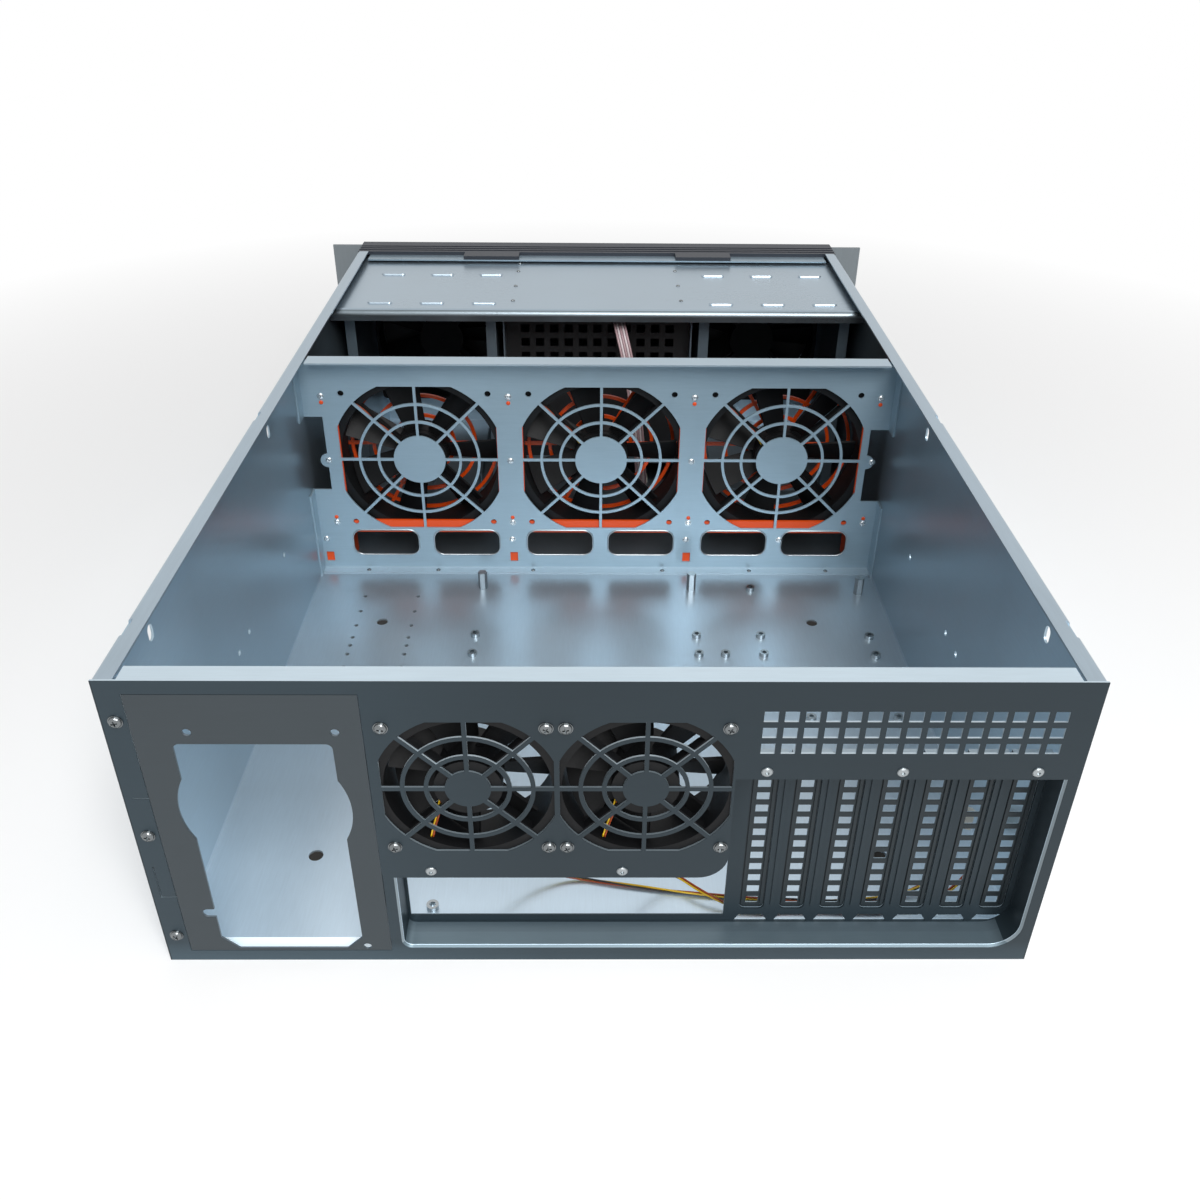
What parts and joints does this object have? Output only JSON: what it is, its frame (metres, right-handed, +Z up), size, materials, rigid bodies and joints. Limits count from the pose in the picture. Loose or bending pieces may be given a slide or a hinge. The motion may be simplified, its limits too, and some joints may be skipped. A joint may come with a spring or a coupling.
{
  "type": "rackmount server case",
  "caption": "Empty rackmount server case of folded steel with a fan wall of lift-out fan modules, card slots, drive cages, rack ears, handles and a hinged front door.",
  "frame": {"origin": "centre of the body's bottom face, on what the case stands on", "axes": "+X to the right seen from the rear, +Y from the rear panel to the front door, +Z up"},
  "size_m": [0.4826, 0.6945, 0.176],
  "materials": {
    "galvanised_steel": "galvanised, satin",
    "fastener_steel": "zinc plated",
    "orange_plastic": "moulded, satin",
    "black_plastic": "moulded, matte",
    "black_foam": "open foam, matte",
    "black_metal": "powder coated",
    "ear_metal": "satin",
    "handle_metal": "plated",
    "bezel_plastic": "moulded, fine grain",
    "button_plastic": "gloss",
    "lead_sleeve": "wire insulation",
    "ribbon_sleeve": "wire insulation",
    "plug_plastic": "moulded"
  },
  "bodies": {
    "case": {"bay_cage": "galvanised_steel", "bay_cover": "galvanised_steel", "bay_screen": "black_metal", "board_posts": "fastener_steel", "card_shelf": "galvanised_steel", "chassis_body": "galvanised_steel", "drive_cage_left": "galvanised_steel", "drive_cage_right": "galvanised_steel", "drive_lead": "ribbon_sleeve", "drive_lead_plug": "plug_plastic", "fan_guide_1": "orange_plastic", "fan_guide_2": "orange_plastic", "fan_guide_3": "orange_plastic", "fan_guide_4": "orange_plastic", "fan_wall": "galvanised_steel", "fan_wall_screws": "fastener_steel", "front_bezel": "bezel_plastic", "front_fan_frame_left": "black_plastic", "front_fan_frame_right": "black_plastic", "front_filters": "black_foam", "front_panel": "galvanised_steel", "handle_left": "handle_metal", "handle_right": "handle_metal", "io_rail": "galvanised_steel", "pan_screws": "fastener_steel", "psu_plate": "galvanised_steel", "rack_ear_left": "ear_metal", "rack_ear_right": "ear_metal", "rear_fan_frame_left": "black_plastic", "rear_fan_frame_right": "black_plastic", "rear_fan_lead_left": "lead_sleeve", "rear_fan_lead_right": "lead_sleeve", "rear_fan_plug_left": "plug_plastic", "rear_fan_plug_right": "plug_plastic", "rear_panel": "galvanised_steel", "rear_rivets": "fastener_steel", "slot_cover_1": "galvanised_steel", "slot_cover_2": "galvanised_steel", "slot_cover_3": "galvanised_steel", "slot_cover_4": "galvanised_steel", "slot_cover_5": "galvanised_steel", "slot_cover_6": "galvanised_steel", "slot_cover_7": "galvanised_steel"},
    "fan_module_1": {"fan_carrier_1": "orange_plastic", "fan_frame_1": "black_plastic"},
    "fan_module_2": {"fan_carrier_2": "orange_plastic", "fan_frame_2": "black_plastic"},
    "fan_module_3": {"fan_carrier_3": "orange_plastic", "fan_frame_3": "black_plastic"},
    "fan_rotor_1": {"fan_rotor_1": "black_plastic"},
    "fan_rotor_2": {"fan_rotor_2": "black_plastic"},
    "fan_rotor_3": {"fan_rotor_3": "black_plastic"},
    "rear_fan_rotor_left": {"rear_fan_rotor_left": "black_plastic"},
    "rear_fan_rotor_right": {"rear_fan_rotor_right": "black_plastic"},
    "front_fan_rotor_left": {"front_fan_rotor_left": "black_plastic"},
    "front_fan_rotor_right": {"front_fan_rotor_right": "black_plastic"},
    "front_door": {"front_door": "bezel_plastic"},
    "door_lock": {"door_lock": "handle_metal"},
    "power_button": {"power_button": "button_plastic"},
    "reset_button": {"reset_button": "button_plastic"}
  },
  "joints": [
    {"name": "module_1_lift", "type": "slide", "parent": "case", "child": "fan_module_1", "axis": [0, 0, 1], "range_m": [0, 0.15]},
    {"name": "module_1_spin", "type": "hinge", "parent": "fan_module_1", "child": "fan_rotor_1", "pos_m": [-0.1318, 0.061, 0.096], "axis": [0, 1, 0], "continuous": true},
    {"name": "module_2_lift", "type": "slide", "parent": "case", "child": "fan_module_2", "axis": [0, 0, 1], "range_m": [0, 0.15]},
    {"name": "module_2_spin", "type": "hinge", "parent": "fan_module_2", "child": "fan_rotor_2", "pos_m": [0.0024, 0.061, 0.096], "axis": [0, 1, 0], "continuous": true},
    {"name": "module_3_lift", "type": "slide", "parent": "case", "child": "fan_module_3", "axis": [0, 0, 1], "range_m": [0, 0.15]},
    {"name": "module_3_spin", "type": "hinge", "parent": "fan_module_3", "child": "fan_rotor_3", "pos_m": [0.1366, 0.061, 0.096], "axis": [0, 1, 0], "continuous": true},
    {"name": "rear_left_spin", "type": "hinge", "parent": "case", "child": "rear_fan_rotor_left", "pos_m": [-0.0597, -0.3113, 0.1151], "axis": [0, 1, 0], "continuous": true},
    {"name": "rear_right_spin", "type": "hinge", "parent": "case", "child": "rear_fan_rotor_right", "pos_m": [0.0203, -0.3113, 0.1151], "axis": [0, 1, 0], "continuous": true},
    {"name": "front_left_spin", "type": "hinge", "parent": "case", "child": "front_fan_rotor_left", "pos_m": [-0.1448, 0.311, 0.096], "axis": [0, 1, 0], "continuous": true},
    {"name": "front_right_spin", "type": "hinge", "parent": "case", "child": "front_fan_rotor_right", "pos_m": [0.1448, 0.311, 0.096], "axis": [0, 1, 0], "continuous": true},
    {"name": "door_swing", "type": "hinge", "parent": "case", "child": "front_door", "pos_m": [-0.1985, 0.3416, 0.088], "axis": [0, 0, 1], "range_deg": [0, 100]},
    {"name": "lock_turn", "type": "hinge", "parent": "front_door", "child": "door_lock", "pos_m": [0.1825, 0.342, 0.088], "axis": [0, 1, 0], "range_deg": [0, 90]},
    {"name": "power_press", "type": "slide", "parent": "case", "child": "power_button", "axis": [0, -1, 0], "range_m": [0, 0.0015], "stiffness_N_per_m": 600, "springref_m": -0.001},
    {"name": "reset_press", "type": "slide", "parent": "case", "child": "reset_button", "axis": [0, -1, 0], "range_m": [0, 0.0015], "stiffness_N_per_m": 600, "springref_m": -0.001}
  ]
}
